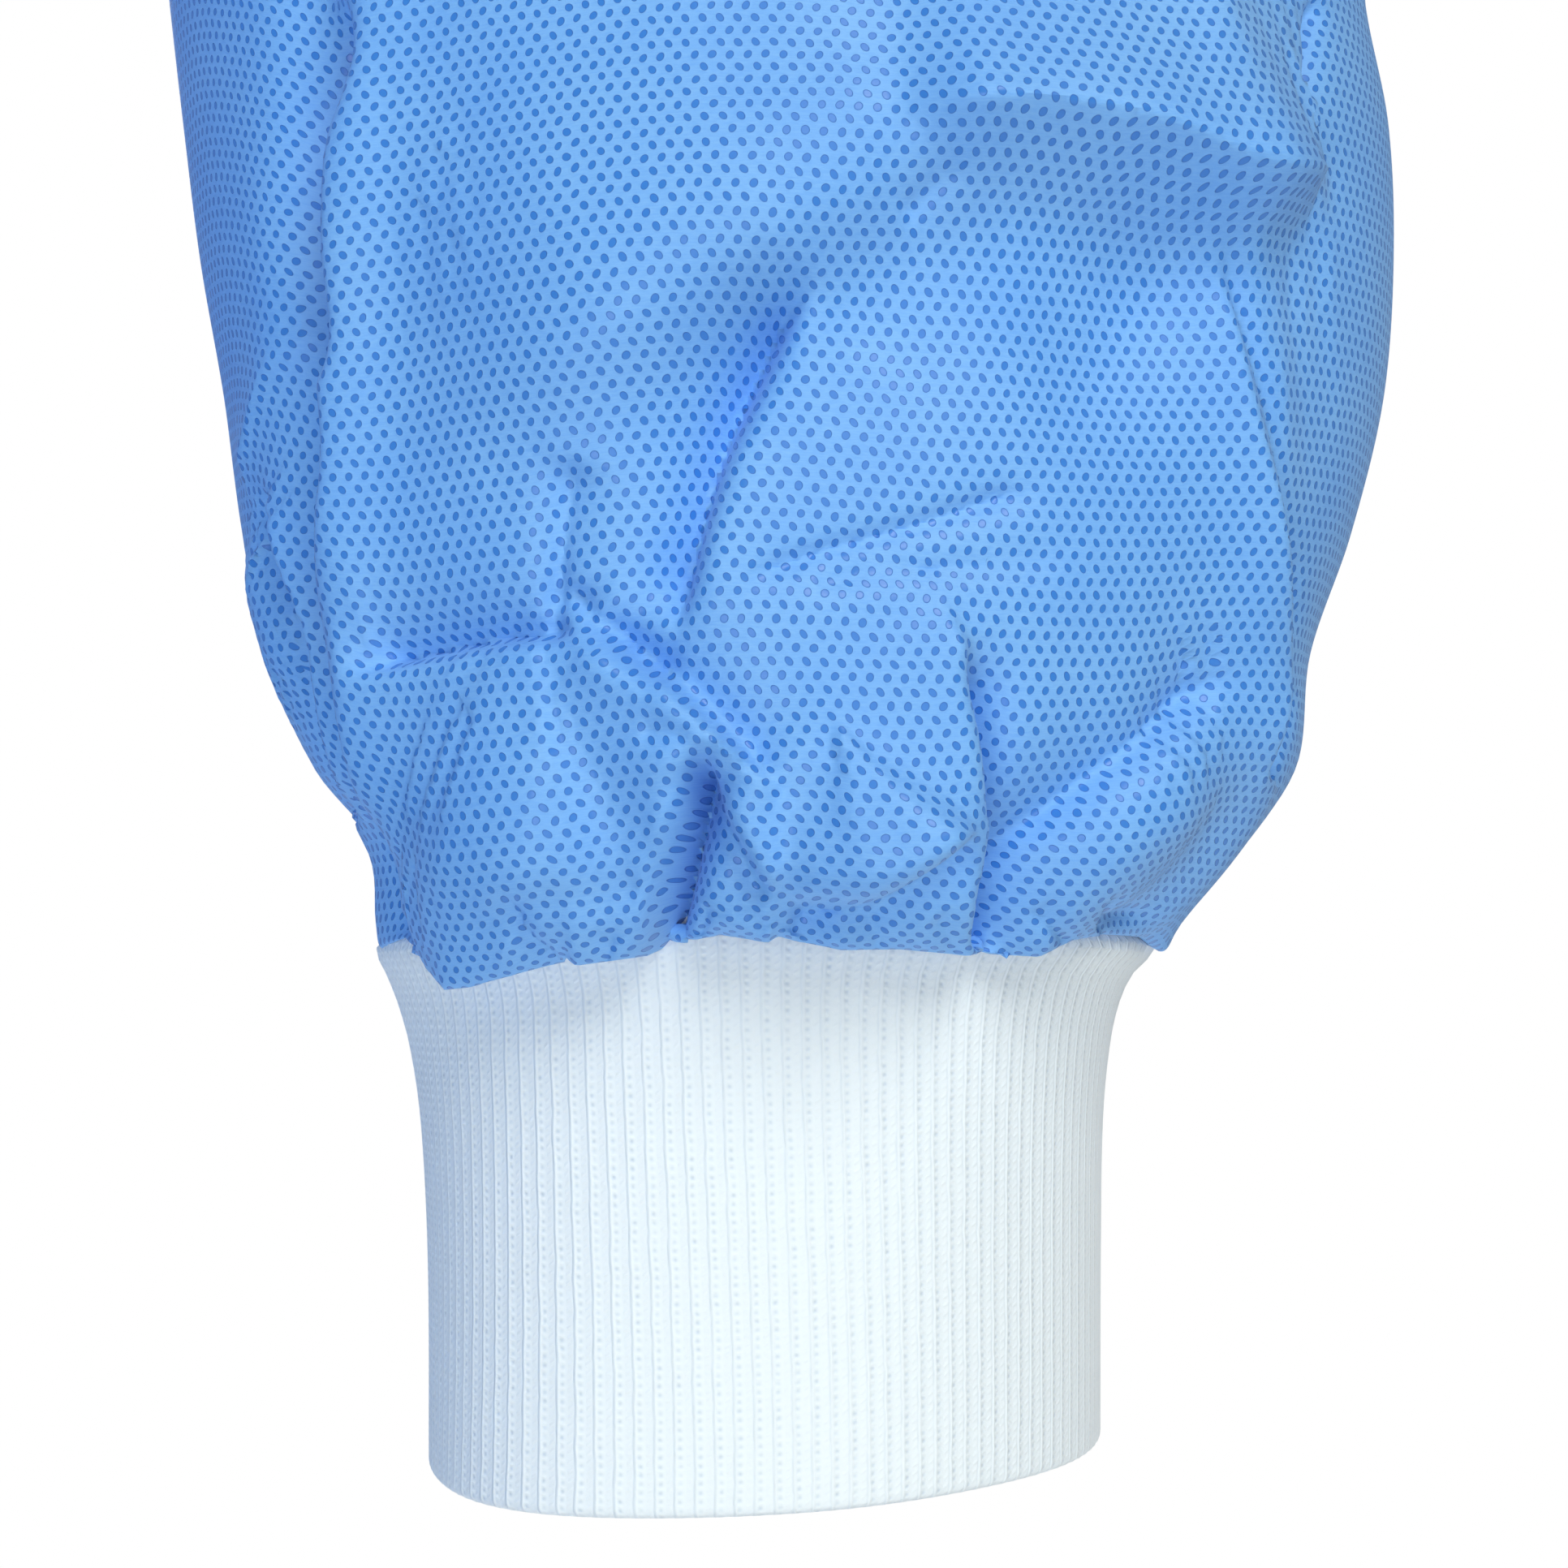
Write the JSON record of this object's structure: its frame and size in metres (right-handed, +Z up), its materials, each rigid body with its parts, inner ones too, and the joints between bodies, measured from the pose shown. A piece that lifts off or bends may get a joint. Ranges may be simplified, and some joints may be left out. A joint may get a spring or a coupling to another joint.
{
  "type": "disposable lab jacket",
  "caption": "Hip-length disposable lab jacket of blue non-woven cloth, filled out as if worn, with a turned-down collar, snap front and gathered sleeves on white rib-knit cuffs.",
  "frame": {"origin": "middle of the neck opening, level with the inner ends of the shoulder seams, where a wearer's shoulders hold the jacket", "axes": "+X towards the wearer's left, -Y the way the front faces, +Z up"},
  "size_m": [0.97, 0.2995, 0.7906],
  "materials": {
    "non_woven_cloth": "matt blue spunbond-meltblown cloth with small staggered bond points",
    "knit": "white rib knit",
    "snap_plastic": "white moulded plastic"
  },
  "bodies": {
    "root": {"back": "non_woven_cloth", "front_left": "non_woven_cloth", "front_right": "non_woven_cloth", "sleeve_left": "non_woven_cloth", "sleeve_right": "non_woven_cloth", "collar": "non_woven_cloth", "cuff_left": "knit", "cuff_right": "knit", "snap_1": "snap_plastic", "snap_2": "snap_plastic", "snap_3": "snap_plastic", "snap_4": "snap_plastic", "snap_5": "snap_plastic"}
  },
  "joints": []
}
